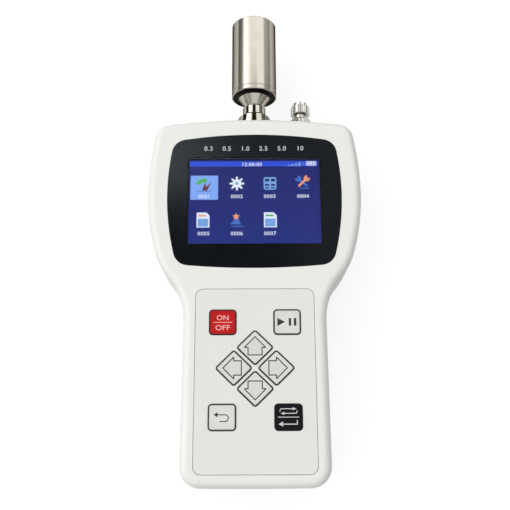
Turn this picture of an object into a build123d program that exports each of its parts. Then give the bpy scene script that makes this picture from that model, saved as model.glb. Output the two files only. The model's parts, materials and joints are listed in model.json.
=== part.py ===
from build123d import *
import os
from math import acos, asin, cos, degrees, radians, sin, tan

# Handheld airborne particle counter, lying on its back.
# Millimetres. +Z is the face normal, +Y points to the inlet, +X to the right of the face.
# Y is measured from a working zero between head and grip. At the very end everything is
# moved so that the origin is the middle of the bounding box in X and Y, and the back at Z = 0.

os.makedirs("parts", exist_ok=True)

# ---- case ----
case_low = -121.7          # lower end of the grip
case_top = 82.2            # top end of the head, on the centre line
thick = 42.0               # back to face
wall = 2.4
face_wall = 2.8            # the face is a little thicker than the sides
part_z = 13.5              # height of the joint between the two shells
face_round = 4.5
back_round = 9.0
head_half = 60.15          # half width of the head at its widest
wide_below_top = 44.3      # the widest place is this far below the top end
shoulder_half = 55.7       # half width where side and top end would meet
top_sag = 4.0              # the top end is a gentle arc
top_corner = 9.0
grip_half = 38.5           # at the top of the grip
grip_flare = 0.42          # degrees, the grip gets wider towards its end
low_sag = 0.4
low_corner = 11.0
side_r = 125.0             # side of the head, then hip, then the hollow of the neck
side_turn = 16.5
hip_r = 39.7
neck_r = 36.2

# ---- window and display ----
window_top = case_top - 11.0
window_high = 78.5
window_half = 48.7         # at its widest
window_top_half = 45.4     # at the upper corners, before rounding
window_low_half = 42.7     # at the lower corners
window_top_sag = 4.0
window_low_sag = 2.2
window_corner = 8.5
window_thick = 1.6
window_gap = 0.15
screen_w = 73.0
screen_h = 50.6
screen_mid = case_top - 51.2
aperture_w = 76.2
aperture_h = 53.6
display_w = 84.0
display_h = 59.0
display_thick = 3.2

# ---- keypad ----
panel_half = 31.6
panel_low = case_low + 7.1
panel_high = 95.4
panel_corner = 4.0
panel_thick = 1.2
panel_gap = 0.3
key_w = 14.8               # openings of the four square keys
key_h = 13.9
key_round = 2.2
key_dx = 17.1
pad_mid = panel_low + 53.2
square_up = 24.2           # upper and lower row above and below the arrow pad
square_down = 25.1
dia_a = 10.16              # half diagonals of a diamond before rounding
dia_b = 9.76
dia_round = 1.6
dia_dx = 11.15
dia_dy = 10.7
key_gap = 0.3
key_proud = 0.5
key_lip = 0.45
key_lip_thick = 1.0
key_stem_r = 2.3
key_travel = 0.6
key_play = 0.1

# ---- air path ----
air_z = 24.0               # height of inlet and outlet axes
inlet_hole_r = 7.5
cap_r = 13.5
cap_wall = 0.7
cap_low = case_top + 21.5
cap_len = 48.9
seal_len = 4.5
cup_r = 10.4               # outside of the probe's cup under the cap
probe_bore_r = 2.6
mouth_r = 9.2
neck_out_r = 4.9
collar_r = 6.8
flange_r = 9.4
run_gap = 0.05
outlet_x = 27.8
outlet_hole_r = 4.0
nut_r = 5.65
crown_r = 4.1

# ---- inside ----
board_thick = 1.6
board_z = 28.4             # underside of the keypad board
main_z = 31.0              # underside of the main board
boss_r = 3.75
screw_r = 1.5
screw_gap = 0.03
head_boss_x = head_half - 11.6
head_boss_top = case_top - 25.2
head_boss_low = case_top - 79.2
grip_boss_x = grip_half - 7.05
grip_boss_top = panel_low + 72.6
grip_boss_low = case_low + 9.5
block_z = 8.0
block_top = 28.0
laser_z = 18.0             # height of the beam
cell_r = 9.0               # three battery cells side by side
cell_len = 66.0
pump_r = 12.0
filter_r = 8.6
filter_len = 34.0
tube_r = 3.4
barb_r = 2.2
tube_bore = barb_r + 0.02


def slab(face, z0, z1):
    # a plate with the outline of a flat sketch
    return Pos(0, 0, z0) * extrude(face, z1 - z0)


def block(x0, x1, y0, y1, z0, z1):
    return Pos((x0 + x1) / 2, (y0 + y1) / 2, (z0 + z1) / 2) * Box(x1 - x0, y1 - y0, z1 - z0)


def rod_z(x, y, r, z0, z1):
    return Pos(x, y, (z0 + z1) / 2) * Cylinder(r, z1 - z0)


def rod_y(x, z, r, y0, y1):
    return Pos(x, (y0 + y1) / 2, z) * Rot(90, 0, 0) * Cylinder(r, y1 - y0)


def rod_x(y, z, r, x0, x1):
    return Pos((x0 + x1) / 2, y, z) * Rot(0, 90, 0) * Cylinder(r, x1 - x0)


def turned(x, z, steps):
    # a turned piece about a line along Y, from (radius, y) points
    shape = make_face(Polyline(*steps, close=True))
    return Pos(x, 0, z) * revolve(shape, Axis.Y)


def arc(cx, cy, r, a0, a1):
    # arc by centre, radius and two angles in degrees
    p = []
    for a in (a0, (a0 + a1) / 2, a1):
        p.append((cx + r * cos(radians(a)), cy + r * sin(radians(a))))
    return ThreePointArc(*p)


def group(shapes):
    # several separate solids kept as one piece
    return Compound([solid for shape in shapes for solid in shape.solids()])


def mirrored(edges):
    return [mirror(e, about=Plane.YZ) for e in edges]


def round_corners(face, places, r):
    # round the corners of a flat sketch that lie nearest to the given places
    picked = []
    for px, py in places:
        picked.append(sorted(face.vertices(), key=lambda v: (v.X - px) ** 2 + (v.Y - py) ** 2)[0])
    return fillet(picked, r)


# ---- outline of the case ----
wide_y = case_top - wide_below_top
a1 = radians(side_turn)
lost = side_r * (1 - cos(a1)) + hip_r * cos(a1) + neck_r - (head_half - grip_half)
a2 = acos(lost / (hip_r + neck_r))
hip_x = head_half - side_r * (1 - cos(a1))
hip_y = wide_y - side_r * sin(a1)
neck_x = hip_x - hip_r * (cos(a1) - cos(a2))
neck_y = hip_y - hip_r * (sin(a2) - sin(a1))
grip_y = neck_y - neck_r * sin(a2)
shoulder_y = case_top - top_sag
foot_y = case_low + low_sag
flare = radians(grip_flare)
flare_y = grip_y - neck_r * sin(flare)
flare_x = grip_half + neck_r * (1 - cos(flare))
foot_half = flare_x + (flare_y - foot_y) * tan(flare)

right_side = [
    TangentArc((head_half, wide_y), (shoulder_half, shoulder_y), tangent=(0, 1)),
    arc(head_half - side_r, wide_y, side_r, 0, -side_turn),
    arc(hip_x - hip_r * cos(a1), hip_y + hip_r * sin(a1), hip_r, -side_turn, -degrees(a2)),
    arc(grip_half + neck_r, grip_y, neck_r, 180 - degrees(a2), 180 + grip_flare),
    Line((flare_x, flare_y), (foot_half, foot_y)),
]
ends = [
    ThreePointArc((-shoulder_half, shoulder_y), (0, case_top), (shoulder_half, shoulder_y)),
    ThreePointArc((-foot_half, foot_y), (0, case_low), (foot_half, foot_y)),
]
outline = make_face(right_side + mirrored(right_side) + ends)
outline = round_corners(outline, [(shoulder_half, shoulder_y), (-shoulder_half, shoulder_y)], top_corner)
outline = round_corners(outline, [(foot_half, foot_y), (-foot_half, foot_y)], low_corner)
inner = offset(outline, -wall)

solid_case = slab(outline, 0, thick)
solid_case = fillet(solid_case.faces().sort_by(Axis.Z)[-1].edges(), face_round)
solid_case = fillet(solid_case.faces().sort_by(Axis.Z)[0].edges(), back_round)
hollow = slab(inner, wall, thick - face_wall)
hollow = chamfer(hollow.faces().sort_by(Axis.Z)[-1].edges(), 0.6 * (face_round - wall))
hollow = chamfer(hollow.faces().sort_by(Axis.Z)[0].edges(), 0.6 * (back_round - wall))
skin = solid_case - hollow
big = 400.0
upper = Pos(0, 0, part_z + big / 2) * Box(big, big, big)
lower = Pos(0, 0, part_z - big / 2) * Box(big, big, big)
face_in = thick - face_wall    # inner side of the face

# ---- outline of the window ----
def window_shape(grow=0.0):
    up = window_top - window_top_sag + grow
    low = window_top - window_high + window_low_sag - grow
    top_half = window_top_half + grow
    low_half = window_low_half + grow
    half = window_half + grow
    side = [ThreePointArc((top_half, up), (half, (up + low) / 2 + 5.5), (low_half, low))]
    ends = [
        ThreePointArc((-top_half, up), (0, window_top + grow), (top_half, up)),
        ThreePointArc((-low_half, low), (0, window_top - window_high - grow), (low_half, low)),
    ]
    face = make_face(side + mirrored(side) + ends)
    face = round_corners(face, [(top_half, up), (-top_half, up)], window_corner + grow)
    return round_corners(face, [(low_half, low), (-low_half, low)], window_corner + grow)


# ---- outline of the keypad panel and of the keys ----
panel_top = panel_low + panel_high
panel_mid = (panel_low + panel_top) / 2


def panel_face(grow=0.0):
    shape = RectangleRounded(2 * (panel_half + grow), panel_high + 2 * grow, panel_corner + grow)
    return Pos(0, panel_mid) * shape


def square_key(grow=0.0):
    return RectangleRounded(key_w + 2 * grow, key_h + 2 * grow, key_round + grow)


def diamond_key(grow=0.0):
    side = (dia_a ** 2 + dia_b ** 2) ** 0.5
    a = dia_a + grow * side / dia_b
    b = dia_b + grow * side / dia_a
    shape = make_face(Polyline((a, 0), (0, b), (-a, 0), (0, -b), close=True))
    return fillet(shape.vertices(), dia_round + grow)


keys = {
    "key_power": (square_key, -key_dx, pad_mid + square_up),
    "key_measure": (square_key, key_dx, pad_mid + square_up),
    "key_escape": (square_key, -key_dx, pad_mid - square_down),
    "key_enter": (square_key, key_dx, pad_mid - square_down),
    "key_up": (diamond_key, 0, pad_mid + dia_dy),
    "key_down": (diamond_key, 0, pad_mid - dia_dy),
    "key_left": (diamond_key, -dia_dx, pad_mid),
    "key_right": (diamond_key, dia_dx, pad_mid),
}

# ---- screw places ----
head_bosses = [(sx * head_boss_x, head_boss_top) for sx in (-1, 1)]
head_bosses += [(sx * (head_boss_x - 2), head_boss_low) for sx in (-1, 1)]
grip_bosses = [(sx * grip_boss_x, y) for sx in (-1, 1) for y in (grip_boss_top, grip_boss_low)]
case_places = head_bosses + grip_bosses
screen_low = screen_mid - display_h / 2
main_low = screen_low - 9.0
main_top = screen_mid + display_h / 2 + 7.5
main_half = display_w / 2
main_places = [(sx * (main_half - 7), y) for sx in (-1, 1) for y in (main_low + 4.2, main_top - 3.6)]
pad_board_half = grip_boss_x - boss_r - 0.4
pad_board_low = pad_mid - square_down - 20.0
pad_board_top = pad_mid + square_up + 13.0
pad_places = [(sx * 24.0, y) for sx in (-1, 1) for y in (pad_board_low + 3.2, pad_board_top - 2.6)]
board_boss_r = 2.6
pilot_r = 0.9

# ---- air path places ----
block_low = case_top - 55.2
block_high = case_top - 23.2
block_half = 22.0
base_in = case_top - wall - 11.0    # inner end of the inlet base
pump_y = block_low - 27.0
pump_x0 = -38.0
pump_split = -4.0
pump_x1 = 18.0
low_air_z = 16.0
pump_air_x = 11.0
filter_x = 36.0
filter_low = pump_y + 12.0
filter_high = filter_low + filter_len
outlet_wall_y = case_top - top_sag * (outlet_x / shoulder_half) ** 2
outlet_seat = case_top - top_sag * ((outlet_x + 6.2) / shoulder_half) ** 2
charge_x = -27.8
data_x = 18.2 - head_half
data_wall_y = case_top - top_sag * (data_x / shoulder_half) ** 2
chamber_places = [(sx * 17.0, y) for sx in (-1, 1) for y in (block_low + 5, block_high - 5)]

# ---- front shell ----
front = skin & upper
front -= slab(window_shape(window_gap), thick - window_thick, thick + 1)
front -= Pos(0, screen_mid) * slab(RectangleRounded(aperture_w, aperture_h, 1.0), face_in - 1, thick)
front -= slab(panel_face(panel_gap), thick - panel_thick, thick + 1)
for make, x, y in keys.values():
    room = 0.3 if make is square_key else 0.5    # the four diamonds share one opening
    front -= Pos(x, y) * slab(make(key_lip + room), face_in - 1, thick)
front -= rod_z(0, pad_mid, 3.0, face_in - 1, thick)
posts = []
for x, y in case_places:
    posts.append(rod_z(x, y, boss_r, part_z, face_in + 0.5))
for x, y in main_places:
    posts.append(rod_z(x, y, board_boss_r, main_z + board_thick, face_in + 0.5))
for x, y in pad_places:
    posts.append(rod_z(x, y, board_boss_r, board_z + board_thick, face_in + 0.3))
for post in posts:
    front += post & solid_case
for x, y in case_places:
    front -= rod_z(x, y, screw_r + screw_gap, part_z - 1, part_z + 9)
for x, y in main_places:
    front -= rod_z(x, y, pilot_r + screw_gap, main_z, main_z + 6)
for x, y in pad_places:
    front -= rod_z(x, y, pilot_r + screw_gap, board_z, board_z + 7)
front -= rod_y(0, air_z, inlet_hole_r + 0.05, case_top - 8, case_top + 2)
front -= rod_y(outlet_x, air_z, outlet_hole_r + 0.05, case_top - 8, case_top + 2)
front -= rod_y(outlet_x, air_z, 6.4, outlet_seat, case_top + 2)
front -= rod_y(charge_x, air_z, 4.05, case_top - 8, case_top + 2)
front -= block(data_x - 4.45, data_x + 4.45, data_wall_y - 5, data_wall_y + 2, air_z - 2.05, air_z + 2.05)

# ---- rear shell ----
rear = skin & lower
for x, y in case_places:
    rear += rod_z(x, y, boss_r, 0.5, part_z) & solid_case
for x, y in chamber_places:
    rear += rod_z(x, y, 3.2, wall - 0.5, block_z)
for y in (pump_y - 8, pump_y + 8):
    rear += block(pump_split + 2, pump_x1 - 2, y - 1, y + 1, wall - 0.5, 4.0)
for x, y in case_places:
    rear -= rod_z(x, y, screw_r + 0.15, -1, part_z + 1)
    rear -= rod_z(x, y, 2.95, -1, 3.6)
for x, y in chamber_places:
    rear -= rod_z(x, y, pilot_r + screw_gap, wall, block_z + 1)

# ---- window, display ----
window = slab(window_shape(), thick - window_thick, thick - 0.05)
display_panel = Pos(0, screen_mid) * slab(Rectangle(display_w - 3, display_h - 3), face_in - 1.2, face_in)
backlight_tray = Pos(0, screen_mid) * slab(Rectangle(display_w, display_h), face_in - display_thick, face_in)
backlight_tray -= Pos(0, screen_mid) * slab(
    Rectangle(display_w - 3, display_h - 3), face_in - 1.2, face_in + 1
)

# ---- keypad ----
keypad_panel = slab(panel_face(), thick - panel_thick, thick)
for make, x, y in keys.values():
    keypad_panel -= Pos(x, y) * slab(make(), thick - 3, thick + 1)
lip_top = thick - panel_thick - key_play
plunger_top = board_z + board_thick + 4.3
stem_low = plunger_top + key_travel + 0.05
key_solids = {}
for name, (make, x, y) in keys.items():
    cap = slab(make(-key_gap), lip_top - 0.2, thick + key_proud)
    cap = chamfer(cap.faces().sort_by(Axis.Z)[-1].edges(), 0.25)
    lip = slab(make(key_lip), lip_top - key_lip_thick, lip_top)
    stem = rod_z(0, 0, key_stem_r, stem_low, lip_top - 0.5)
    key_solids[name] = Pos(x, y) * (cap + lip + stem)

keypad_board = block(
    -pad_board_half, pad_board_half, pad_board_low, pad_board_top, board_z, board_z + board_thick
)
for x, y in pad_places:
    keypad_board -= rod_z(x, y, pilot_r + 0.15, board_z - 1, board_z + 3)
switches = []
for make, x, y in keys.values():
    body = block(x - 3.1, x + 3.1, y - 3.1, y + 3.1, board_z + board_thick, board_z + board_thick + 3.4)
    switches.append(body + rod_z(x, y, 1.6, board_z + board_thick + 3.2, plunger_top))
key_switches = group(switches)
ribbon_path = Polyline(
    (pad_board_top - 6, board_z - 0.3),
    (pad_board_top + 1, board_z - 0.3),
    (main_low - 1, main_z - 0.3),
    (main_low + 8, main_z - 0.3),
    (main_low + 8, main_z),
    (main_low - 1.2, main_z),
    (pad_board_top + 0.8, board_z),
    (pad_board_top - 6, board_z),
    close=True,
)
keypad_ribbon = extrude(Plane.YZ * make_face(ribbon_path), 8, both=True)

# ---- boards and their screws ----
main_board = block(-main_half, main_half, main_low, main_top, main_z, main_z + board_thick)
for x, y in main_places:
    main_board -= rod_z(x, y, pilot_r + 0.15, main_z - 1, main_z + 3)
for x, y, w, h, t in ((-14, 22, 18, 18, 1.4), (14, 24, 12, 12, 1.2), (-34, 40, 8, 14, 1.8), (30, 50, 12, 8, 2.2)):
    chip = block(x - w / 2, x + w / 2, main_low + y - h / 2, main_low + y + h / 2, 0, t)
    main_board += Pos(0, 0, main_z + board_thick) * chip


def small_screw(x, y, z, length):
    # pan head screw, head downwards, its seat at height z
    return rod_z(x, y, 1.9, z - 1.3, z) + rod_z(x, y, pilot_r, z - 0.5, z + length)


board_screws = group(
    [small_screw(x, y, main_z, 4.4) for x, y in main_places]
    + [small_screw(x, y, board_z, 6.0) for x, y in pad_places]
)
screws = []
for x, y in case_places:
    screws.append(rod_z(x, y, 2.7, 1.4, 3.6) + rod_z(x, y, screw_r, 3.2, part_z + 8.5))
case_screws = group(screws)

# ---- optics ----
block_mid = (block_low + block_high) / 2
optical_chamber = block(-block_half, block_half, block_low, block_high, block_z, block_top)
optical_chamber = chamfer(optical_chamber.edges().filter_by(Axis.Z), 2.0)
optical_chamber += rod_y(0, air_z, barb_r, block_high - 1, block_high + 5)
optical_chamber += rod_y(pump_air_x, low_air_z, barb_r, block_low - 5, block_low + 1)
optical_chamber -= rod_y(0, air_z, 1.3, block_mid, block_high + 6)
optical_chamber -= rod_y(pump_air_x, low_air_z, 1.3, block_low - 6, block_mid)
optical_chamber -= rod_x(block_mid, laser_z, 5.03, -block_half - 1, -block_half + 8)
for x, y in chamber_places:
    optical_chamber -= rod_z(x, y, pilot_r + 0.2, 0, block_top + 1)
    optical_chamber -= rod_z(x, y, 2.2, block_z + 4, block_top + 1)
laser_module = rod_x(block_mid, laser_z, 5.0, -block_half - 12, -block_half + 7.5)
laser_module += rod_x(block_mid, laser_z, 6.5, -block_half - 18, -block_half)
detector_board = block(
    block_half, block_half + board_thick, block_mid - 11, block_mid + 11, laser_z - 9, laser_z + 9
)
detector_board += rod_x(block_mid, laser_z, 3.2, block_half + 1.4, block_half + 3.6)
chamber_screws = group(
    [
        rod_z(x, y, 1.9, block_z + 4, block_z + 5.3) + rod_z(x, y, pilot_r, wall + 0.6, block_z + 4.2)
        for x, y in chamber_places
    ]
)

# ---- pump, filter, tubes ----
pump_z = 4.0 + pump_r
pump_head = block(pump_split, pump_x1, pump_y - pump_r, pump_y + pump_r, 4.0, 4.0 + 2 * pump_r)
pump_head = chamfer(pump_head.edges().filter_by(Axis.X), 1.5)
pump_head += rod_y(pump_air_x, low_air_z, barb_r, pump_y + pump_r - 1, pump_y + pump_r + 5)
pump_head += rod_x(pump_y, low_air_z, barb_r, pump_x1 - 1, pump_x1 + 5)
pump_motor = rod_x(pump_y, pump_z, pump_r - 0.4, pump_x0, pump_split)
pump_motor += rod_x(pump_y, pump_z, 4.0, pump_x0 - 2, pump_x0 + 1)
exhaust_filter = rod_y(filter_x, low_air_z, filter_r, filter_low, filter_high)
exhaust_filter = chamfer(exhaust_filter.edges().filter_by(GeomType.CIRCLE), 1.5)
exhaust_filter += rod_y(filter_x, low_air_z, barb_r, filter_low - 3.6, filter_low + 1)
exhaust_filter += rod_y(filter_x, low_air_z, barb_r, filter_high - 1, filter_high + 5)


def tube(path, start, axis):
    ring = Plane(origin=start, z_dir=axis) * (Circle(tube_r) - Circle(tube_bore))
    return sweep(ring, path=path)


inlet_tube = rod_y(0, air_z, tube_r, block_high, base_in + 5.5)
inlet_tube -= rod_y(0, air_z, tube_bore, block_high - 1, base_in + 7)
pump_tube = rod_y(pump_air_x, low_air_z, tube_r, pump_y + pump_r, block_low)
pump_tube -= rod_y(pump_air_x, low_air_z, tube_bore, pump_y, block_low + 1)
bend = 8.0
filter_path = [
    Line((pump_x1, pump_y, low_air_z), (filter_x - bend, pump_y, low_air_z)),
    ThreePointArc(
        (filter_x - bend, pump_y, low_air_z),
        (filter_x - bend + bend * sin(radians(45)), pump_y + bend * (1 - cos(radians(45))), low_air_z),
        (filter_x, pump_y + bend, low_air_z),
    ),
    Line((filter_x, pump_y + bend, low_air_z), (filter_x, filter_low - 0.05, low_air_z)),
]
filter_tube = tube(Wire(filter_path), (pump_x1, pump_y, low_air_z), (1, 0, 0))
outlet_in = outlet_wall_y - wall - 2.5     # inner shoulder of the outlet fitting
rise_low = filter_high + 5.5
rise_high = outlet_in - 6.0
lower_end = Vector(filter_x, rise_low, low_air_z)
upper_end = Vector(outlet_x, rise_high, air_z)
across = Vector(outlet_x - filter_x, 0, air_z - low_air_z)
along = Vector(0, 1, 0)
run = rise_high - rise_low
s_bend_r = (run ** 2 + across.length ** 2) / (4 * across.length)
half_turn = asin(run / 2 / s_bend_r) / 2
step = across.normalized() * (s_bend_r * (1 - cos(half_turn))) + along * (s_bend_r * sin(half_turn))
centre = (lower_end + upper_end) * 0.5
outlet_path = [
    Line((filter_x, filter_high, low_air_z), lower_end),
    ThreePointArc(lower_end, lower_end + step, centre),
    ThreePointArc(centre, upper_end - step, upper_end),
    Line(upper_end, (outlet_x, outlet_in, air_z)),
]
outlet_tube = tube(Wire(outlet_path), (filter_x, filter_high, low_air_z), (0, 1, 0))

# ---- battery ----
battery_low = grip_boss_low - 1.0
cell_z = wall + 0.1 + cell_r
battery_pack = block(
    -2 * cell_r, 2 * cell_r, battery_low, battery_low + cell_len, cell_z - cell_r, cell_z + cell_r
)
for sx in (-1, 1):
    battery_pack += rod_y(2 * sx * cell_r, cell_z, cell_r, battery_low, battery_low + cell_len)

# ---- sockets in the top end wall ----
socket_y = outlet_wall_y - wall - 0.4
charge_socket = rod_y(charge_x, air_z, 4.0, socket_y - 2, outlet_wall_y - 0.2)
charge_socket += block(charge_x - 4.8, charge_x + 4.8, socket_y - 11, socket_y, air_z - 5.2, air_z + 5.2)
charge_socket -= rod_y(charge_x, air_z, 2.8, socket_y - 8, outlet_wall_y + 1)
charge_socket += rod_y(charge_x, air_z, 0.9, socket_y - 9, outlet_wall_y - 1)
data_in = data_wall_y - wall
data_socket = block(data_x - 4.4, data_x + 4.4, data_in - 6, data_wall_y - 0.6, air_z - 2, air_z + 2)
data_socket -= block(data_x - 3.9, data_x + 3.9, data_in - 4, data_wall_y + 1, air_z - 1.5, air_z + 1.5)
data_socket += block(data_x - 2.6, data_x + 2.6, data_in - 5, data_wall_y - 1.2, air_z - 0.4, air_z + 0.4)

# ---- inlet base, its nut, probe, cap ----
base_top = case_top + 4.3
inlet_base = turned(
    0,
    air_z,
    [
        (probe_bore_r + 1.9, base_top),
        (flange_r + 0.6, base_top),
        (flange_r + 0.6, case_top),
        (inlet_hole_r, case_top),
        (inlet_hole_r, base_in + 5.5),
        (barb_r, base_in + 5.5),
        (barb_r, base_in),
        (1.4, base_in),
        (1.4, base_top - 7),
        (probe_bore_r + 1.9, base_top - 7),
    ],
)
nut_y = case_top - wall - 0.25
inlet_nut = Pos(0, nut_y - 2.0, air_z) * Rot(90, 0, 0) * extrude(RegularPolygon(11.0, 6), 2.0, both=True)
inlet_nut -= rod_y(0, air_z, inlet_hole_r + screw_gap, nut_y - 6, nut_y + 2)
cap_top = cap_low + cap_len
cup_top = cap_top - cap_wall - 2.5
cone_low = cap_low - 6.6
sampling_probe = turned(
    0,
    air_z,
    [
        (probe_bore_r, base_top - 6.8),
        (probe_bore_r + 1.87, base_top - 6.8),
        (probe_bore_r + 1.87, base_top),
        (flange_r, base_top),
        (flange_r, base_top + 3.0),
        (collar_r + 0.6, base_top + 4.6),
        (collar_r, base_top + 5.0),
        (collar_r, cone_low - 1.0),
        (neck_out_r, cone_low - 0.6),
        (neck_out_r, cone_low),
        (cup_r, cap_low + 0.4),
        (cup_r, cup_top),
        (mouth_r, cup_top),
        (mouth_r, cup_top - 1.0),
        (probe_bore_r, cap_low + 2.0),
    ],
)
probe_cap = turned(
    0,
    air_z,
    [
        (0, cap_top),
        (cap_r - 0.5, cap_top),
        (cap_r, cap_top - 0.5),
        (cap_r, cap_low + 3.2),
        (cap_r - 0.25, cap_low + 3.0),
        (cap_r - 0.25, cap_low + 2.7),
        (cap_r, cap_low + 2.5),
        (cap_r, cap_low + 0.4),
        (cap_r - 0.4, cap_low),
        (cap_r - cap_wall, cap_low),
        (cap_r - cap_wall, cap_top - cap_wall),
        (0, cap_top - cap_wall),
    ],
)
cap_seal = rod_y(0, air_z, cap_r - cap_wall, cap_low + 0.5, cap_low + 0.5 + seal_len)
cap_seal -= rod_y(0, air_z, cup_r + run_gap, cap_low - 1, cap_low + 6)

# ---- outlet fitting and its nut ----
nut_low = case_top + 9.7
nut_top = case_top + 15.0
crown_top = case_top + 17.2
outlet_top = crown_top - 1.2
outlet_fitting = turned(
    outlet_x,
    air_z,
    [
        (1.9, outlet_in - 5.5),
        (1.9, outlet_top),
        (3.0, outlet_top),
        (3.0, nut_low - 0.2),
        (3.75, nut_low - 0.6),
        (3.75, case_top + 6.9),
        (5.6, case_top + 6.3),
        (6.2, case_top + 5.6),
        (6.2, outlet_seat),
        (outlet_hole_r, outlet_seat),
        (outlet_hole_r, outlet_in),
        (barb_r + 0.0, outlet_in),
        (barb_r + 0.0, outlet_in - 5.5),
    ],
)
for k in range(4):
    turn = Pos(outlet_x, 0, air_z) * Rot(0, 90 * k + 45, 0)
    outlet_fitting -= turn * block(5.3, 8, case_top + 1.2, case_top + 7, -5, 5)
outlet_nut = turned(
    outlet_x,
    air_z,
    [
        (3.0 + run_gap, nut_low),
        (nut_r - 0.3, nut_low),
        (nut_r, nut_low + 0.3),
        (nut_r, nut_top - 0.3),
        (nut_r - 0.3, nut_top),
        (crown_r, nut_top),
        (crown_r, crown_top),
        (3.0 + run_gap, crown_top),
    ],
)
for k in range(6):
    turn = Pos(outlet_x, 0, air_z) * Rot(0, 60 * k, 0)
    outlet_nut -= turn * block(2, 6, nut_top + 0.7, crown_top + 1, -0.75, 0.75)
for k in range(24):
    turn = Pos(outlet_x, 0, air_z) * Rot(0, 15 * k, 0) * Pos(nut_r + 0.12, 0, 0) * Rot(0, 45, 0)
    outlet_nut -= turn * block(-0.35, 0.35, nut_low - 1, nut_top + 0.4, -0.35, 0.35)

nodes = {
    "front_shell": front,
    "rear_shell": rear,
    "display_window": window,
    "display_panel": display_panel,
    "backlight_tray": backlight_tray,
    "keypad_panel": keypad_panel,
    "keypad_board": keypad_board,
    "key_switches": key_switches,
    "keypad_ribbon": keypad_ribbon,
    "main_board": main_board,
    "board_screws": board_screws,
    "case_screws": case_screws,
    "optical_chamber": optical_chamber,
    "laser_module": laser_module,
    "detector_board": detector_board,
    "chamber_screws": chamber_screws,
    "pump_head": pump_head,
    "pump_motor": pump_motor,
    "exhaust_filter": exhaust_filter,
    "inlet_tube": inlet_tube,
    "pump_tube": pump_tube,
    "filter_tube": filter_tube,
    "outlet_tube": outlet_tube,
    "battery_pack": battery_pack,
    "charge_socket": charge_socket,
    "data_socket": data_socket,
    "inlet_base": inlet_base,
    "inlet_nut": inlet_nut,
    "sampling_probe": sampling_probe,
    "probe_cap": probe_cap,
    "cap_seal": cap_seal,
    "outlet_fitting": outlet_fitting,
    "outlet_nut": outlet_nut,
}
nodes.update(key_solids)

middle = (case_low + cap_top) / 2
for name, shape in nodes.items():
    export_step(Pos(0, -middle, 0) * shape, "parts/" + name + ".step")
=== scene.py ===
import json
import math

import bpy
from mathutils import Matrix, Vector


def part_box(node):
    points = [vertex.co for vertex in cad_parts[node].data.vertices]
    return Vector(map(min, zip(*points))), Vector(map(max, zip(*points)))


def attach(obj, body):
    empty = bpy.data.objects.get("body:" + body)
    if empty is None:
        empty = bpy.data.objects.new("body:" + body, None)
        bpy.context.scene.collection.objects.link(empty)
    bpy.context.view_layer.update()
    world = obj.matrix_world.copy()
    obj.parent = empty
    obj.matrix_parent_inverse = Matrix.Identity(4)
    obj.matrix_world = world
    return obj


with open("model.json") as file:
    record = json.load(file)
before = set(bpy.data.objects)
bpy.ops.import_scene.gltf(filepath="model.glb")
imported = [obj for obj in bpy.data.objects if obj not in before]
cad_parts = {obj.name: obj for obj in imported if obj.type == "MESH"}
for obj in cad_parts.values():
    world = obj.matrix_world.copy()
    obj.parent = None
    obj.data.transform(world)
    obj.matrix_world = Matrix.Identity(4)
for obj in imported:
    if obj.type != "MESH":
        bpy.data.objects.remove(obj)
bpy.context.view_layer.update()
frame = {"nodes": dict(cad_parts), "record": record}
nodes = frame["nodes"]
MM = 0.001

# ---------------------------------------------------------------- places, from the frame


def span(node):
    lo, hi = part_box(node)
    return Vector(lo), Vector(hi)


def middle(node):
    lo, hi = span(node)
    return (lo + hi) / 2


FACE_Z = span("keypad_panel")[1].z           # the case's face
DISPLAY = middle("display_panel")
SCREEN = DISPLAY + Vector((0, 0.9 * MM, 0))  # middle of the lit area
SCREEN_Z = span("display_panel")[1].z
WINDOW_Z = span("display_window")[1].z
KEY_Z = span("key_power")[1].z
SCREEN_W = 73.8 * MM                         # lit area
SCREEN_H = 49.9 * MM
CLEAR_EDGE = 0.55 * MM                       # the window is clear this far past the lit area
PRINT = 0.02 * MM                            # printed legends stand this far off a surface
GRAIN = 0.35 * MM                            # spark-eroded grain of moulded plastic
MOTTLE = 14 * MM                             # slow change of tone over a moulding
METAL_MOTTLE = 6 * MM
# black of the seal, and of the painted shade band on the probe's cone
RUBBER_AND_SHADE_BLACK = (6, 6, 6)


# ---------------------------------------------------------------- materials


def rgb(r, g, b):
    """A colour as seen on a screen, 0 to 255, as a linear colour."""
    out = []
    for c in (r, g, b):
        c /= 255
        out.append(c / 12.92 if c <= 0.04045 else ((c + 0.055) / 1.055) ** 2.4)
    return (*out, 1.0)


def darker(color, share):
    return [c * (1 - share) for c in color[:3]] + [1.0]


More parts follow.
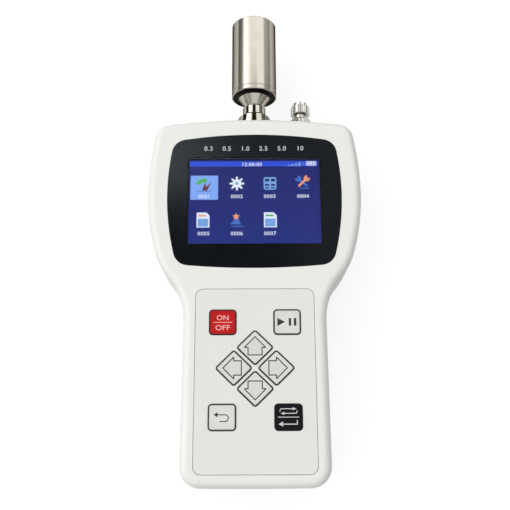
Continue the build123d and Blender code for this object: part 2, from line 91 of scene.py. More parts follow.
class Nodes:
    """Short hand for building one node material, or the world's light."""

    def __init__(self, name, world=False):
        self.mat = (bpy.data.worlds if world else bpy.data.materials).new(name)
        self.mat.use_nodes = True
        self.tree = self.mat.node_tree
        self.tree.nodes.clear()
        end = "ShaderNodeOutputWorld" if world else "ShaderNodeOutputMaterial"
        self.out = self.tree.nodes.new(end)
        self.place = self.new("ShaderNodeTexCoord").outputs["Generated" if world else "Object"]

    def new(self, kind, **settings):
        n = self.tree.nodes.new(kind)
        for key, value in settings.items():
            setattr(n, key, value)
        return n

    def put(self, socket, value):
        if isinstance(value, bpy.types.NodeSocket):
            self.tree.links.new(value, socket)
        else:
            socket.default_value = value

    def math(self, op, a, b=0.0, clamp=False):
        n = self.new("ShaderNodeMath", operation=op, use_clamp=clamp)
        self.put(n.inputs[0], a)
        self.put(n.inputs[1], b)
        return n.outputs[0]

    def scaled(self, size, stretch=(1, 1, 1)):
        """Object coordinates with one unit per size, stretched along axes."""
        n = self.new("ShaderNodeMapping")
        self.put(n.inputs["Vector"], self.place)
        n.inputs["Scale"].default_value = [s / size for s in stretch]
        return n.outputs[0]

    def noise(self, size, stretch=(1, 1, 1), detail=2.0):
        n = self.new("ShaderNodeTexNoise")
        self.put(n.inputs["Vector"], self.scaled(size, stretch))
        n.inputs["Scale"].default_value = 1.0
        n.inputs["Detail"].default_value = detail
        return n.outputs["Fac"]

    def ramp(self, fac, low, high, a=0.3, b=0.7, smooth=False):
        """A number that goes from low to high as fac goes from a to b."""
        way = "SMOOTHSTEP" if smooth else "LINEAR"
        n = self.new("ShaderNodeMapRange", interpolation_type=way)
        self.put(n.inputs["Value"], fac)
        for key, value in (("From Min", a), ("From Max", b), ("To Min", low), ("To Max", high)):
            n.inputs[key].default_value = value
        return n.outputs["Result"]

    def mix(self, fac, a, b):
        n = self.new("ShaderNodeMix", data_type="RGBA")
        self.put(n.inputs["Factor"], fac)
        self.put(n.inputs["A"], a)
        self.put(n.inputs["B"], b)
        return n.outputs["Result"]

    def axis(self, which):
        n = self.new("ShaderNodeSeparateXYZ")
        self.put(n.inputs[0], self.place)
        return n.outputs["XYZ".index(which)]

    def bump(self, height, strength, distance):
        n = self.new("ShaderNodeBump")
        n.inputs["Strength"].default_value = strength
        n.inputs["Distance"].default_value = distance
        self.put(n.inputs["Height"], height)
        return n.outputs["Normal"]

    def shader(self, **sockets):
        n = self.new("ShaderNodeBsdfPrincipled")
        for key, value in sockets.items():
            self.put(n.inputs[key.replace("_", " ")], value)
        return n.outputs[0]

    def finish(self, surface):
        self.tree.links.new(surface, self.out.inputs["Surface"])
        return self.mat


def plastic(name, color, rough, bump=0.12, **more):
    """Moulded plastic: fine spark-eroded grain, a slight mottle in colour and gloss."""
    n = Nodes(name)
    mottle = n.noise(MOTTLE, detail=3)
    fine = n.noise(GRAIN)
    return n.finish(
        n.shader(
            Base_Color=n.mix(n.ramp(mottle, 0, 1), darker(color, 0.02), color),
            Roughness=n.ramp(fine, rough - 0.05, rough + 0.05),
            Normal=n.bump(fine, bump, 0.02 * MM),
            **more,
        )
    )


def key_material(name, color, edge, pillow_shade=0.06, gloss=0.5):
    """A key's satin face with painted pillow shade, a little darker away from its middle; painted
    shade on its bevel and sides.
    """
    n = Nodes(name)
    own = n.new("ShaderNodeTexCoord").outputs["Generated"]
    out = n.new("ShaderNodeVectorMath", operation="DISTANCE")
    n.put(out.inputs[0], own)
    out.inputs[1].default_value = (0.5, 0.5, 1.0)
    fine = n.noise(GRAIN)
    mottle = n.ramp(n.noise(MOTTLE, detail=3), -0.15, 0.15)
    # painted shade: the face darkens away from its middle, as light falls off a domed key, with a
    # random mottle on top
    away = n.math("ADD", n.ramp(out.outputs["Value"], 0, 1, 0.10, 0.50, True), mottle, clamp=True)
    face = n.mix(away, color, darker(color, pillow_shade))
    # below the top face the edge colour is painted shade, for the shadowed gap round the key
    on_top = n.math("GREATER_THAN", n.axis("Z"), KEY_Z - 0.02 * MM)
    return n.finish(
        n.shader(
            Base_Color=n.mix(on_top, edge, face),
            Roughness=n.ramp(fine, 0.35, 0.45),
            Specular_IOR_Level=gloss,
            Normal=n.bump(fine, 0.06, 0.02 * MM),
        )
    )


def metal(name, color, rough, stretch=(1, 60, 1), size=0.25 * MM, rim=1.0):
    """Worked metal: fine marks drawn out along an axis, in colour, gloss and relief."""
    n = Nodes(name)
    fine = n.noise(size, [1 / s for s in stretch], detail=3)
    wide = n.noise(METAL_MOTTLE, detail=3)
    return n.finish(
        n.shader(
            Base_Color=n.mix(n.ramp(wide, 0, 1), darker(color, 0.06), color),
            Metallic=1.0,
            Roughness=n.ramp(fine, rough - 0.05, rough + 0.05),
            Specular_Tint=(rim, rim, rim, 1),
            Normal=n.bump(fine, 0.08, 0.01 * MM),
        )
    )


def probe_material(color):
    """Polished steel with a matte black band round the rim of the cup, at the cap's mouth: painted
    shade.
    """
    n = Nodes("probe_steel")
    mouth = span("probe_cap")[0].y
    along = n.axis("Y")
    # painted shade: the cone is black where it meets the cap's mouth
    band = n.math("GREATER_THAN", along, mouth - 1.0 * MM)
    band = n.math("MULTIPLY", band, n.math("LESS_THAN", along, mouth + 1.2 * MM))
    wide = n.noise(METAL_MOTTLE, detail=3)
    fine = n.noise(0.8 * MM, detail=3)
    steel = n.mix(n.ramp(wide, 0, 1), darker(color, 0.06), color)
    rough = n.math("ADD", n.ramp(fine, 0.02, 0.04), n.ramp(band, 0, 0.45, 0, 1))
    return n.finish(
        n.shader(
            Base_Color=n.mix(band, steel, rgb(*RUBBER_AND_SHADE_BLACK)),
            Metallic=n.ramp(band, 1, 0, 0, 1),
            Roughness=rough,
            Specular_Tint=(0.1, 0.1, 0.1, 1),
            Normal=n.bump(fine, 0.02, 0.01 * MM),
        )
    )


def printed(name, color, glow=0.0):
    """Ink, or a lit patch of the display where glow is above 0."""
    n = Nodes(name)
    speck = n.noise(0.4 * MM)
    tone = n.mix(n.ramp(speck, 0, 1), darker(color, 0.07), color)
    if not glow:
        return n.finish(n.shader(Base_Color=tone, Roughness=0.45))
    return n.finish(
        n.shader(
            Base_Color=(0.004, 0.004, 0.004, 1),
            Roughness=0.3,
            Specular_IOR_Level=0.1,
            Emission_Color=tone,
            Emission_Strength=glow,
        )
    )


def inside(n, centre, w, h):
    """1 within a rectangle on the face, 0 outside it."""
    dx = n.math("ABSOLUTE", n.math("SUBTRACT", n.axis("X"), centre.x))
    dy = n.math("ABSOLUTE", n.math("SUBTRACT", n.axis("Y"), centre.y))
    far = n.math("MAXIMUM", n.math("SUBTRACT", dx, w / 2), n.math("SUBTRACT", dy, h / 2))
    return n.math("LESS_THAN", far, 0.0)


def window_material():
    """Clear acrylic with a black border printed behind it."""
    n = Nodes("window_plate")
    haze = n.noise(9 * MM, detail=3)
    border = n.shader(
        Base_Color=n.mix(n.ramp(haze, 0, 1), rgb(6, 8, 11), rgb(9, 12, 16)),
        Roughness=n.ramp(haze, 0.10, 0.14),
        IOR=1.49,
        Specular_Tint=(0.84, 0.93, 1.0, 1),
    )
    clear = n.shader(
        Base_Color=(0.96, 0.97, 1.0, 1),
        Roughness=n.ramp(haze, 0.0, 0.02),
        Transmission_Weight=1.0,
        IOR=1.2,
    )
    m = n.new("ShaderNodeMixShader")
    n.put(m.inputs[0], inside(n, SCREEN, SCREEN_W + 2 * CLEAR_EDGE, SCREEN_H + 2 * CLEAR_EDGE))
    n.put(m.inputs[1], border)
    n.put(m.inputs[2], clear)
    return n.finish(m.outputs[0])


def display_material():
    """Lit blue screen with a dark edge round it."""
    n = Nodes("display_glass")
    down = n.ramp(n.axis("Y"), 1, 0, SCREEN.y - SCREEN_H / 2, SCREEN.y + SCREEN_H / 2)
    cells = n.noise(0.3 * MM)
    blue = n.mix(down, rgb(16, 28, 104), rgb(26, 40, 124))
    blue = n.mix(n.ramp(cells, 0, 0.12), blue, rgb(12, 22, 96))
    lit = inside(n, SCREEN, SCREEN_W, SCREEN_H)
    return n.finish(
        n.shader(
            Base_Color=(0.004, 0.004, 0.006, 1),
            Roughness=n.ramp(cells, 0.25, 0.35),
            Specular_IOR_Level=0.1,
            Emission_Color=n.mix(lit, rgb(4, 5, 10), blue),
            Emission_Strength=1.0,
        )
    )


MATS = {
    "shell": plastic("shell_abs", rgb(238, 239, 234), 0.42),
    "panel": plastic("panel_film", rgb(233, 234, 229), 0.38, bump=0.08),
    "window": window_material(),
    "display": display_material(),
    # the second colour of each key is painted shade on its bevel and sides
    "key_light": key_material("key_light_face", rgb(225, 227, 222), rgb(44, 46, 44)),
    "key_red": key_material("key_red_face", rgb(206, 22, 22), rgb(80, 10, 12), 0.2, gloss=0.25),
    "key_black": key_material("key_black_face", rgb(8, 9, 12), rgb(4, 5, 6), gloss=0.25),
    "board": plastic("board_green", rgb(20, 92, 52), 0.35),
    "switch": plastic("switch_black", rgb(30, 30, 32), 0.4),
    "ribbon": plastic("ribbon_amber", rgb(190, 130, 50), 0.3),
    "screw": metal("screw_zinc", rgb(176, 178, 182), 0.32, stretch=(1, 1, 1)),
    "block": metal("chamber_black", rgb(40, 41, 44), 0.45, stretch=(1, 1, 1)),
    "laser": metal("laser_brass", rgb(190, 160, 96), 0.3, stretch=(60, 1, 1)),
    "pump_body": metal("pump_alloy", rgb(188, 190, 194), 0.35, stretch=(1, 40, 1)),
    "motor": metal("motor_can", rgb(160, 162, 166), 0.3, stretch=(40, 1, 1)),
    "tray": metal("tray_steel", rgb(170, 172, 176), 0.35, stretch=(40, 1, 1)),
    "filter_body": plastic("filter_capsule", rgb(214, 220, 224), 0.3),
    "tubing": plastic("tube_silicone", rgb(216, 216, 208), 0.35),
    "battery": plastic("battery_sleeve", rgb(38, 84, 160), 0.3),
    "socket": plastic("socket_black", rgb(26, 26, 28), 0.35),
    "socket_shell": metal("socket_tin", rgb(190, 190, 190), 0.3, stretch=(1, 40, 1)),
    "steel": probe_material(rgb(186, 181, 170)),
    "cap_steel": metal("cap_steel_brushed", rgb(184, 179, 168), 0.15, (1, 80, 1), rim=0.0),
    "seal": plastic("seal_rubber", rgb(*RUBBER_AND_SHADE_BLACK), 0.6, Specular_IOR_Level=0.1),
    "nickel": metal("nickel_plate", rgb(208, 206, 201), 0.18, (1, 1, 1), 0.6 * MM, rim=0.3),
    "ink_dark": printed("ink_dark_grey", rgb(40, 41, 39)),
    "ink_maroon": printed("ink_maroon_edge", rgb(84, 12, 14)),
    "ink_shade": printed("ink_arrow_shade", rgb(221, 223, 219)),
    # black ink of the key legends, also used as painted shade in the screw heads' cross recesses
    "black_ink_and_recess_shade": printed("ink_black_text", rgb(46, 47, 48)),
    "ink_pink": printed("ink_pale_pink", rgb(250, 205, 203)),
    "ink_pale": printed("ink_pale_grey", rgb(214, 216, 220)),
    "lit_white": printed("lit_white_text", rgb(232, 238, 255), glow=1.0),
    "lit_header": printed("lit_header_blue", rgb(38, 78, 214), glow=1.0),
    "lit_tile": printed("lit_tile_blue", rgb(130, 172, 246), glow=1.0),
    "lit_sky": printed("lit_sky_blue", rgb(120, 168, 226), glow=1.0),
    "lit_blue": printed("lit_mid_blue", rgb(66, 112, 196), glow=1.0),
    "lit_green": printed("lit_leaf_green", rgb(84, 182, 96), glow=1.0),
    "lit_maroon": printed("lit_maroon", rgb(112, 44, 52), glow=1.0),
    "lit_orange": printed("lit_orange", rgb(236, 158, 120), glow=1.0),
    "lit_navy": printed("lit_navy", rgb(22, 32, 92), glow=1.0),
}

slot_of = {s["node"]: s["material_slot"] for s in frame["record"]["subparts"]}
for name, obj in nodes.items():
    obj.data.materials.clear()
    obj.data.materials.append(MATS[slot_of[name]])

# ---------------------------------------------------------------- flat marks on a surface


def add_mesh(name, verts, faces, mat, body):
    mesh = bpy.data.meshes.new(name)
    mesh.from_pydata(verts, [], faces)
    mesh.update()
    obj = bpy.data.objects.new(name, mesh)
    bpy.context.scene.collection.objects.link(obj)
    mesh.materials.append(MATS[mat])
    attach(obj, body)
    return obj


def patch(name, points, at, mat, body="housing", lift=PRINT):
    """A thin filled patch. Points in mm round the place at, in metres."""
    verts = [(at.x + x * MM, at.y + y * MM, at.z + lift) for x, y in points]
    return add_mesh(name, verts, [list(range(len(verts)))], mat, body)


def stroke(name, points, width, at, mat, body="housing", closed=True, lift=PRINT, side=0.0):
    """A line of even width along points in mm, with mitred corners.

    side 0.5 puts its whole width on the left of the points.
    """
    n = len(points)
    pts = [Vector(p) for p in points]
    left, right = [], []
    for i, p in enumerate(pts):
        a = pts[i - 1] if (closed or i) else p
        b = pts[(i + 1) % n] if (closed or i < n - 1) else p
        d0 = (p - a).normalized() if (p - a).length else (b - p).normalized()
        d1 = (b - p).normalized() if (b - p).length else d0
        normal = Vector((-(d0 + d1).y, (d0 + d1).x)).normalized()
        reach = width / 2 / max(0.35, normal.dot(Vector((-d0.y, d0.x))))
        left.append(p + normal * reach * (1 + 2 * side))
        right.append(p - normal * reach * (1 - 2 * side))
    verts = [(at.x + v.x * MM, at.y + v.y * MM, at.z + lift) for v in left + right]
    faces = []
    for i in range(n if closed else n - 1):
        j = (i + 1) % n
        faces.append((i, n + i, n + j, j))
    return add_mesh(name, verts, faces, mat, body)


def rounded(points, r, steps=6):
    """A closed polygon with its corners rounded, in mm."""
    out = []
    n = len(points)
    for i in range(n):
        p = Vector(points[i])
        a = (Vector(points[i - 1]) - p).normalized()
        b = (Vector(points[(i + 1) % n]) - p).normalized()
        half = math.acos(max(-1, min(1, a.dot(b)))) / 2
        centre = p + (a + b).normalized() * (r / math.sin(half))
        start = p + a * (r / math.tan(half)) - centre
        end = p + b * (r / math.tan(half)) - centre
        a0 = math.atan2(start.y, start.x)
        turn = math.atan2(end.y, end.x) - a0
        turn = (turn + math.pi) % (2 * math.pi) - math.pi
        for k in range(steps + 1):
            ang = a0 + turn * k / steps
            out.append((centre.x + r * math.cos(ang), centre.y + r * math.sin(ang)))
    return out


def rectangle(w, h, r=0.0):
    pts = [(-w / 2, -h / 2), (w / 2, -h / 2), (w / 2, h / 2), (-w / 2, h / 2)]
    return rounded(pts, r) if r else pts


def shifted(points, dx, dy):
    return [(x + dx, y + dy) for x, y in points]


def arc(cx, cy, r, a0, a1, steps=16):
    out = []
    for k in range(steps + 1):
        a = math.radians(a0 + (a1 - a0) * k / steps)
        out.append((cx + r * math.cos(a), cy + r * math.sin(a)))
    return out


def lettering(
    name, text, cap, at, mat, body="housing", spacing=1.0, stretch=1.0, heavy=0.0
):
    """Numbers, or the ON and OFF of the power key. cap is the height of a capital in mm."""
    curve = bpy.data.curves.new(name, "FONT")
    curve.body = text
    curve.size = cap / 0.73 * MM
    curve.space_character = spacing
    curve.offset = heavy * MM
    curve.align_x = "CENTER"
    curve.align_y = "BOTTOM_BASELINE"
    curve.resolution_u = 3
    temp = bpy.data.objects.new(name + "_text", curve)
    bpy.context.scene.collection.objects.link(temp)
    bpy.context.view_layer.update()
    mesh = bpy.data.meshes.new_from_object(temp)
    bpy.data.objects.remove(temp)
    mesh.name = name
    mesh.materials.clear()
    mesh.materials.append(MATS[mat])
    for v in mesh.vertices:
        v.co.x = v.co.x * stretch + at.x
        v.co.y += at.y - cap / 2 * MM
        v.co.z += at.z + PRINT
    obj = bpy.data.objects.new(name, mesh)
    bpy.context.scene.collection.objects.link(obj)
    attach(obj, body)
    return obj


# ---------------------------------------------------------------- keys

ARROWS = {"key_up": 0, "key_left": 90, "key_down": 180, "key_right": 270}
ARROW = [(0, 5.7), (-5.7, 0.0), (-3.7, 0.0), (-3.7, -3.95), (3.7, -3.95), (3.7, 0.0), (5.7, 0.0)]
ARROW_LINE = 0.55
RING = 0.34                                  # line printed round each key's face
RING_INK = {"key_light": "ink_dark", "key_red": "ink_maroon"}
SWITCH_TEXT = 2.85                           # height of ON and OFF
LOOP_UP = 3.05                               # middle of the enter key's loop, above its rule


def key_top(name):
    lo, hi = span(name)
    return Vector(((lo.x + hi.x) / 2, (lo.y + hi.y) / 2, hi.z))


def on_key(name, dx, dy):
    return key_top(name) + Vector((dx * MM, dy * MM, 0))


def turned(points, degrees):
    c, s = math.cos(math.radians(degrees)), math.sin(math.radians(degrees))
    return [(x * c - y * s, x * s + y * c) for x, y in points]


def key_outline(name):
    """The edge of a key's flat top, in mm round its middle, anticlockwise."""
    at = key_top(name)
    top = set()
    for v in nodes[name].data.vertices:
        if v.co.z > at.z - 1e-6:
            top.add((round(v.co.x - at.x, 5), round(v.co.y - at.y, 5)))
    return sorted(((x / MM, y / MM) for x, y in top), key=lambda p: math.atan2(p[1], p[0]))


def add_arrows():
    for name, angle in ARROWS.items():
        arrow = rounded(turned(ARROW, angle), 0.15, 2)
        patch(name + "_fill", arrow, key_top(name), "ink_shade", name, lift=0.5 * PRINT)
        stroke(name + "_arrow", arrow, ARROW_LINE, key_top(name), "ink_dark", name)


def add_rings():
    for name, slot in slot_of.items():
        if slot in RING_INK:
            line = key_outline(name)
            stroke(name + "_ring", line, RING, key_top(name), RING_INK[slot], name, side=0.5)


def add_power_legend():
    """ON and OFF with a rule between them."""
    key = "key_power"
    lettering("power_on", "ON", SWITCH_TEXT, on_key(key, 0, 2.5), "ink_pink", key, stretch=1.08)
    lettering("power_off", "OFF", SWITCH_TEXT, on_key(key, 0, -2.85), "ink_pink", key, stretch=1.16)
    patch("power_rule", rectangle(10.0, 0.28), on_key(key, 0, -0.1), "ink_pink", key)


def add_measure_legend():
    """Start triangle and two bars."""
    at = key_top("key_measure")
    triangle = [(-5.2, -2.2), (-1.1, 0), (-5.2, 2.2)]
    patch("measure_start", triangle, at, "black_ink_and_recess_shade", "key_measure")
    for i, x in enumerate((1.5, 4.2)):
        bar = shifted(rectangle(1.3, 4.1), x, 0)
        patch("measure_bar_%d" % i, bar, at, "black_ink_and_recess_shade", "key_measure")


def add_escape_legend():
    """Arrow that turns back."""
    at = key_top("key_escape")
    back = [(-2.6, 1.3), (1.6, 1.3)] + arc(1.6, -0.4, 1.7, 80, -90, 10) + [(-1.2, -2.1)]
    stroke("escape_line", back, 0.5, at, "black_ink_and_recess_shade", "key_escape", closed=False)
    patch("escape_head", [(-4.3, 1.3), (-2.3, 0.0), (-2.3, 2.6)], at, "black_ink_and_recess_shade", "key_escape")


def add_enter_legend():
    """Repeat loop above the rule, return arrow below it."""
    key, ink = "key_enter", "ink_pale"
    at = key_top(key)
    loop = [(-4.4, -0.3)] + arc(-3.5, 0.25, 0.9, 180, 90, 6) + [(2.2, 1.15)]
    head = [(2.1, 0.35), (4.1, 1.15), (2.1, 1.95)]
    for i, turn in enumerate((0, 180)):
        half = shifted(turned(loop, turn), 0, LOOP_UP)
        stroke("enter_loop_%d" % i, half, 0.42, at, ink, key, closed=False)
        patch("enter_loop_head_%d" % i, shifted(turned(head, turn), 0, LOOP_UP), at, ink, key)
    patch("enter_rule", rectangle(11.0, 0.35), at, ink, key)
    corner = [(4.4, -1.5), (4.4, -3.5), (-3.2, -3.5)]
    stroke("enter_line", corner, 0.5, at, ink, key, closed=False)
    patch("enter_head", [(-5.2, -3.5), (-2.9, -4.8), (-2.9, -2.2)], at, ink, key)


# ---------------------------------------------------------------- window print

SIZE_STEP = 10.4                             # between the particle sizes on the window


def add_window_print():
    """The particle sizes above the display."""
    middle_at = Vector((0, DISPLAY.y + 31.9 * MM, WINDOW_Z))
    for i, size in enumerate(("0.3", "0.5", "1.0", "2.5", "5.0", "10")):
        at = middle_at + Vector(((i - 2.5) * SIZE_STEP * MM, 0, 0))
        lettering("window_size_%d" % i, size, 2.8, at, "ink_pale", spacing=1.08, heavy=0.03)


# ---------------------------------------------------------------- the picture on the display

COLUMNS = (8.6, 27.0, 45.5, 64.2)
ROW_1, ROW_2 = 14.4, 36.0                    # middles of the icons
TEXT_1, TEXT_2 = 22.0, 43.8                  # middles of the captions
SCREEN_TEXT = 2.2
GAUGE_NEEDLE = [(-1.9, -4.0), (-0.2, 0.4), (0.6, -2.0), (3.4, 1.2), (1.0, -4.2)]
PAGE = [(-3.6, -4.4), (3.6, -4.4), (3.6, 2.6), (1.8, 4.4), (-3.6, 4.4)]
TABLE_CELLS = (                              # across, up, width, height
    (-1.7, 2.0, 2.4, 1.6),
    (1.7, 2.0, 2.4, 1.6),
    (-1.7, -0.9, 2.4, 1.1),
    (1.7, -0.9, 2.4, 1.1),
    (-1.7, -2.7, 2.4, 0.7),
    (1.7, -2.7, 2.4, 0.7),
)


def on_screen(x, y):
    """A place on the display, in mm from the lit area's upper left corner."""
    left, top = SCREEN.x - SCREEN_W / 2, SCREEN.y + SCREEN_H / 2
    return Vector((left + x * MM, top - y * MM, SCREEN_Z))


def lit(name, points, x, y, mat, lift=1):
    """A lit patch of the picture; lift says which layer it is in."""
    return patch("screen_" + name, points, on_screen(x, y), mat, lift=lift * PRINT)


def screen_text(name, text, x, y, spacing, heavy):
    at = on_screen(x, y) + Vector((0, 0, PRINT))
    lettering("screen_" + name, text, SCREEN_TEXT, at, "lit_white", spacing=spacing, heavy=heavy)


def add_header():
    """Bar with the time, the signal steps and a battery cell."""
    lit("header", rectangle(72.6, 3.1), 36.5, 2.5, "lit_header")
    screen_text("title", "12:00:00", 35.4, 2.7, 1.12, 0.06)
    for i in range(4):
        step = rectangle(1.2, 0.8 + 0.5 * i)
        lit("signal_%d" % i, step, 56.6 + 2.0 * i, 3.6 - 0.25 * i, "lit_sky", 2)
    lit("dash", rectangle(1.1, 0.4), 64.6, 2.6, "lit_sky", 2)
    case = rectangle(5.6, 2.3, 0.5)
    stroke("screen_cell_case", case, 0.35, on_screen(69.2, 2.3), "lit_white", lift=2 * PRINT)
    for i in range(3):
        lit("cell_bar_%d" % i, rectangle(1.15, 1.5), 67.7 + 1.5 * i, 2.3, "lit_white", 2)


def add_captions():
    """The tile behind the chosen icon, and a plain number under each icon."""
    lit("tile", rectangle(15.6, 14.5, 0.5), COLUMNS[0], 16.8, "lit_tile")
    places = [(x, TEXT_1) for x in COLUMNS] + [(x, TEXT_2) for x in COLUMNS[:3]]
    for i, (x, y) in enumerate(places, start=1):
        screen_text("number_%d" % i, "%04d" % i, x, y, 1.15, 0.05)


def add_gauge(x):
    """Gauge with its needle on a base line."""
    gauge = arc(0, -2.0, 5.0, 155, 65, 10) + arc(0, -2.0, 2.6, 65, 155, 10)
    lit("gauge", gauge, x - 0.4, ROW_1, "lit_green", 2)
    lit("needle", GAUGE_NEEDLE, x + 0.6, ROW_1, "lit_maroon", 2)
    lit("gauge_base", rectangle(8.6, 0.45), x - 0.4, ROW_1 + 4.5, "lit_blue", 2)


def add_wheel(x):
    """Toothed wheel."""
    wheel = []
    for i in range(8):
        for off, r in ((-15, 2.5), (-7, 4.2), (7, 4.2), (15, 2.5)):
            a = math.radians(45 * i + off)
            wheel.append((r * math.cos(a), r * math.sin(a)))
    lit("wheel", wheel, x, ROW_1, "lit_white", 2)
    lit("wheel_hub", arc(0, 0, 0.9, 0, 340, 12), x, ROW_1, "lit_sky", 3)


def add_table(x):
    """Table with its cells."""
    lit("table", rectangle(7.2, 7.6, 1.1), x, ROW_1, "lit_sky", 2)
    for i, (dx, dy, w, h) in enumerate(TABLE_CELLS):
        cell = shifted(rectangle(w, h, 0.25), dx, dy)
        lit("cell_%d" % i, cell, x, ROW_1, "lit_navy", 3)


def add_tools(x):
    """Two crossed tools."""
    y = ROW_1 - 0.6
    for i, (turn, mat) in enumerate(((48, "lit_blue"), (-44, "lit_orange"))):
        lit("tool_%d" % i, turned(rectangle(1.3, 7.0, 0.6), turn), x, y, mat, 2 + i)
        jaw = turned(shifted(arc(0, 0, 1.8, 125, 415, 14) + [(0, 0.2)], 0, 3.4), turn)
        lit("tool_jaw_%d" % i, jaw, x, y, mat, 2 + i)
    lit("tool_base", rectangle(5.4, 0.5), x + 1.0, ROW_1 + 2.9, "lit_blue", 2)


def add_page(i, x, bar):
    """Page with a heading bar."""
    lit("page_%d" % i, PAGE, x, ROW_2, "lit_white", 2)
    lit("page_bar_%d" % i, rectangle(4.4, 1.0), x - 0.4, ROW_2 - 2.5, bar, 3)
    lit("page_text_%d" % i, rectangle(5.8, 4.6, 0.3), x, ROW_2 + 1.6, "lit_sky", 3)


def add_slope(x):
    """Star over a slope."""
    lit("slope", [(-4.0, -2.6), (0.4, 1.6), (2.4, -2.6)], x, ROW_2, "lit_blue", 2)
    star = []
    for i in range(10):
        r = 2.3 if i % 2 == 0 else 1.05
        a = math.radians(90 + 36 * i)
        star.append((r * math.cos(a), r * math.sin(a)))
    lit("star", star, x - 0.4, ROW_2 - 1.9, "lit_orange", 3)
    lit("slope_base", rectangle(6.2, 0.6), x + 0.8, ROW_2 + 3.8, "lit_blue", 2)


def add_picture():
    add_header()
    add_captions()
    add_gauge(COLUMNS[0])
    add_wheel(COLUMNS[1])
    add_table(COLUMNS[2] + 0.2)
    add_tools(COLUMNS[3])
    add_page(0, COLUMNS[0] - 0.4, "lit_orange")
    add_page(1, COLUMNS[2] + 0.2, "lit_green")
    add_slope(COLUMNS[1])


# ---------------------------------------------------------------- painted shade for the cross recesses of the case screws

CROSS_ARM, CROSS_HALF = 1.6, 0.35


def head_places(node, apart=6 * MM):
    """Middles of the screw heads whose faces are the lowest of the node."""
    low = span(node)[0].z
    groups = []
    for v in nodes[node].data.vertices:
        if v.co.z > low + 0.01 * MM:
            continue
        near = [g for g in groups if (g[0] - v.co).length < apart]
        if near:
            near[0].append(v.co.copy())
        else:
            groups.append([v.co.copy()])
    return [sum(g, Vector()) / len(g) for g in groups]


def add_screw_crosses():
    """A dark cross of painted shade, where the cross recess is, on the head of each case screw,
    each turned its own way.
    """
    a, h = CROSS_ARM, CROSS_HALF
    cross = [(h, h), (h, a), (-h, a), (-h, h), (-a, h), (-a, -h)]
    cross += [(-x, -y) for x, y in cross]
    for i, at in enumerate(head_places("case_screws")):
        # each cross is painted shade for the screw's cross recess
        patch("case_screw_recess_shade_%d" % i, turned(cross, 31 * i), at, "black_ink_and_recess_shade", lift=-PRINT)


add_arrows()
add_rings()
add_power_legend()
add_measure_legend()
add_escape_legend()
add_enter_legend()
add_window_print()
add_picture()
add_screw_crosses()

# ---------------------------------------------------------------- studio

FLOOR_HALF = 6.0
AMBIENT = 0.20                               # light from all round
MIRRORED_LOW = 0.12                          # and in the part that the window mirrors
BOX_LEFT, BOX_RIGHT = 2.15, 1.55             # the big softbox past the probe's end
BOX_EDGE = 0.33                              # what is left of it past its right edge
SIDE, BACK = 1.9, 0.86                       # soft lights at the left and behind the grip
FLOOR_GLOW = 0.80                            # with the light that it gets, this makes it white


def mirrored_part(n, x, y):
    """1 for the directions that the flat window mirrors toward the camera's side."""
    across = n.ramp(n.math("ABSOLUTE", x), 1, 0, 0.16, 0.26, True)
    low, high = n.ramp(y, 0, 1, 0.17, 0.24, True), n.ramp(y, 1, 0, 0.426, 0.436, True)
    up = n.math("MULTIPLY", low, high)
    return n.math("MULTIPLY", across, up)


def mirrored_glow(n, x, y):
    """A glow at the window's upper left, and a faint one down its right side."""
    left, up = n.ramp(x, 1.15, 0, -0.115, 0.0, True), n.ramp(y, 0, 1, 0.315, 0.38, True)
    glow = n.math("MULTIPLY", left, up)
    high, right = n.ramp(y, 0, 0.22, 0.30, 0.40, True), n.ramp(x, 0, 0.24, 0.03, 0.10, True)
    faint = n.math("MAXIMUM", high, right)
    return n.math("ADD", n.math("ADD", glow, faint), MIRRORED_LOW)


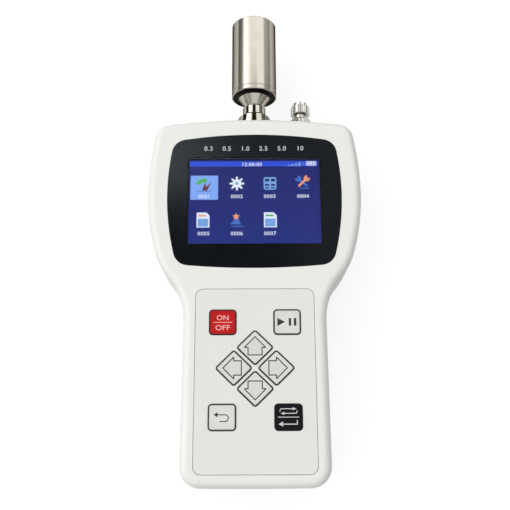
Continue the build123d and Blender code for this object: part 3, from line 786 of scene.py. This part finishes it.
def add_world():
    """Soft studio light, drawn by direction: one wide box and two round fills.

    Looked at, it is white. Polished metal mirrors the box and the dark gap that make its bands.
    """
    n = Nodes("studio", world=True)
    x, y, z = n.axis("X"), n.axis("Y"), n.axis("Z")
    swing = n.math("ARCTAN2", x, z)
    deg = math.radians
    low, high = n.ramp(y, 0, 1, 0.33, 0.47, True), n.ramp(y, 1, 0, 0.80, 0.92, True)
    box = n.math("MULTIPLY", low, high)
    for a, b, before, after in ((-65, -47, 0, 1), (48, 60, 1, BOX_EDGE), (80, 88, 1, 0)):
        box = n.math("MULTIPLY", box, n.ramp(swing, before, after, deg(a), deg(b), True))
    box = n.math("MULTIPLY", box, n.ramp(swing, BOX_LEFT, BOX_RIGHT, deg(-38), deg(-18), True))
    total = n.math("ADD", box, AMBIENT)
    for toward, amount in (((-0.95, -0.1, 0.75), SIDE), ((0.1, -0.75, 0.7), BACK)):
        dot = n.new("ShaderNodeVectorMath", operation="DOT_PRODUCT")
        n.put(dot.inputs[0], n.place)
        dot.inputs[1].default_value = Vector(toward).normalized()
        spot = n.ramp(dot.outputs["Value"], 0, amount, math.cos(deg(44)), math.cos(deg(10)), True)
        total = n.math("ADD", total, spot)
    low, high = n.ramp(y, 0, 1, 0.428, 0.436, True), n.ramp(y, 1, 0, 0.470, 0.482, True)
    off_box = n.math("SUBTRACT", 1.0, n.math("MULTIPLY", box, 0.7), clamp=True)
    ahead = n.ramp(n.math("ABSOLUTE", swing), 1, 0, deg(12), deg(20), True)
    gap = n.math("MULTIPLY", n.math("MULTIPLY", low, high), n.math("MAXIMUM", off_box, ahead))
    total = n.mix(gap, total, grey(0.02))
    total = n.mix(mirrored_part(n, x, y), total, mirrored_glow(n, x, y))
    path = n.new("ShaderNodeLightPath")
    straight = path.outputs["Is Camera Ray"], path.outputs["Is Transmission Ray"]
    seen = n.math("MAXIMUM", *straight)
    total = n.mix(seen, total, grey(1))
    sky = n.new("ShaderNodeBackground")
    sky.inputs["Color"].default_value = grey(1)
    n.put(sky.inputs["Strength"], total)
    bpy.context.scene.world = n.finish(sky.outputs[0])


def grey(level):
    return (level, level, level, 1)


def floor_material():
    """Grey paper for the light it gives back, white where it is looked at; it keeps the shadow."""
    n = Nodes("studio_floor")
    grain = n.noise(0.4)
    path = n.new("ShaderNodeLightPath")
    seen = n.math("MAXIMUM", path.outputs["Is Camera Ray"], path.outputs["Is Glossy Ray"])
    seen = n.math("MAXIMUM", seen, path.outputs["Is Transmission Ray"])
    return n.finish(
        n.shader(
            Base_Color=n.mix(n.ramp(grain, 0, 1), grey(0.27), grey(0.29)),
            Roughness=0.9,
            Specular_IOR_Level=0.0,
            Emission_Color=grey(1),
            Emission_Strength=n.math("MULTIPLY", seen, FLOOR_GLOW),
        )
    )


def add_floor():
    mesh = bpy.data.meshes.new("floor")
    f = FLOOR_HALF
    mesh.from_pydata([(-f, -f, 0), (f, -f, 0), (f, f, 0), (-f, f, 0)], [], [(0, 1, 2, 3)])
    mesh.materials.append(floor_material())
    floor = bpy.data.objects.new("floor", mesh)
    floor.location.z = -0.0001
    bpy.context.scene.collection.objects.link(floor)


def add_camera():
    """Stands above the face, tilted toward the grip and a hair out of level."""
    tilt = math.radians(15.4)
    roll = math.radians(-0.22)
    away = 383.0 * MM
    target = Vector((0.17 * MM, DISPLAY.y - 31.16 * MM, FACE_Z))
    data = bpy.data.cameras.new("camera")
    data.sensor_width = 36.0
    data.lens = 49.55
    data.clip_start = 0.01
    camera = bpy.data.objects.new("camera", data)
    camera.location = target + Vector((0, -away * math.sin(tilt), away * math.cos(tilt)))
    camera.rotation_mode = "ZXY"
    camera.rotation_euler = (tilt, 0, roll)
    bpy.context.scene.collection.objects.link(camera)
    bpy.context.scene.camera = camera


add_floor()
add_world()
add_camera()

scene = bpy.context.scene
scene.view_settings.view_transform = "Standard"
